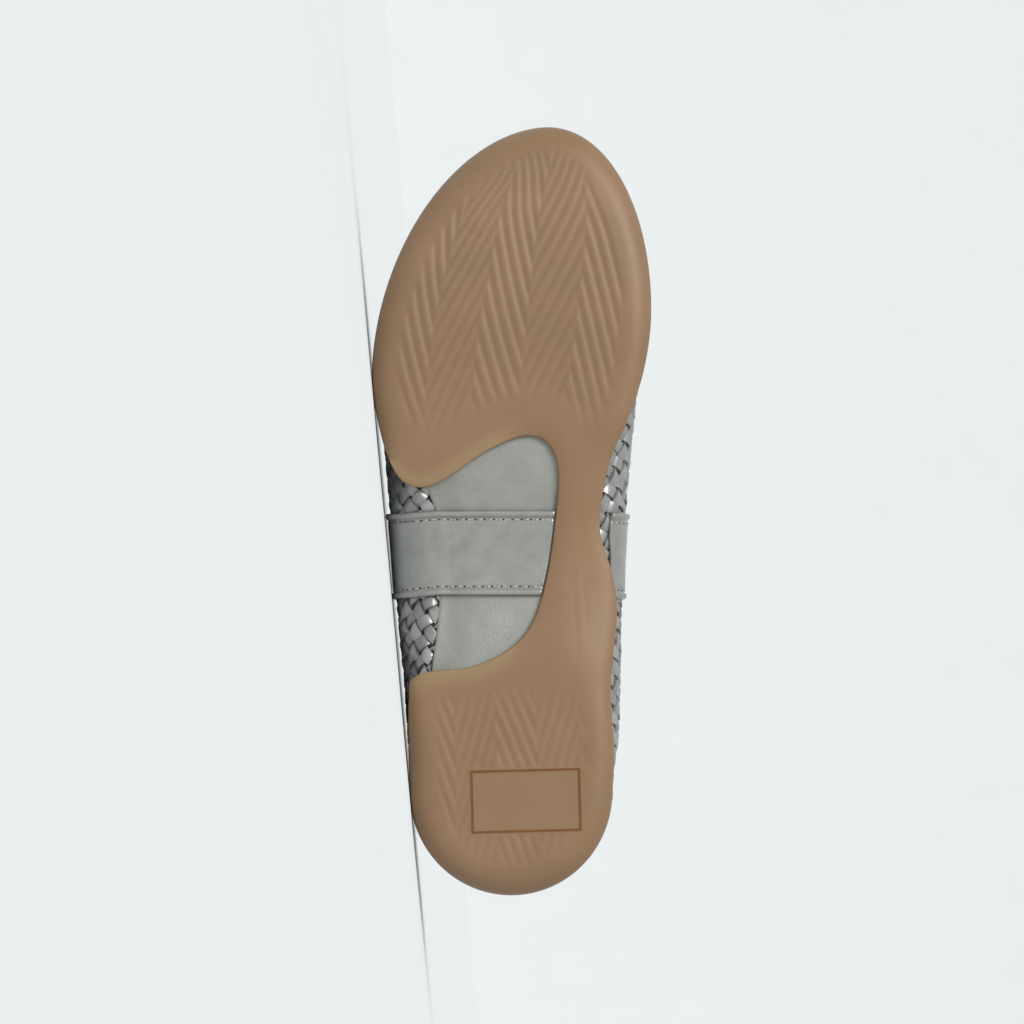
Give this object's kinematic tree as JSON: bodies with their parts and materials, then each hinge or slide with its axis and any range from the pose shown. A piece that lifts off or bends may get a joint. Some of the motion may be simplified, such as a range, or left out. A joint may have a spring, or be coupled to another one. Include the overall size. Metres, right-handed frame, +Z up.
{
  "type": "martial arts shoe",
  "caption": "Low slip-on martial arts shoe for the right foot, with a woven leather upper and a flat gum rubber outsole cut away at the lateral arch, lying on its side.",
  "frame": {"origin": "centre of the bounding box in plan, at the floor the shoe lies on", "axes": "+X from toe to heel along the floor, +Y from the tread toward the collar, +Z up, from the lateral side to the medial side"},
  "size_m": [0.248, 0.0636, 0.0929],
  "materials": {
    "gum_rubber": "semi-gloss translucent gum",
    "plain_leather": "satin silver",
    "woven_leather": "satin silver",
    "insole_cloth": "matt",
    "band_leather": "satin silver"
  },
  "bodies": {
    "root": {"outsole": "gum_rubber", "bottom_panel": "plain_leather", "upper": "woven_leather", "insole": "insole_cloth", "saddle_band_lateral": "band_leather", "saddle_band_medial": "band_leather"}
  },
  "joints": []
}
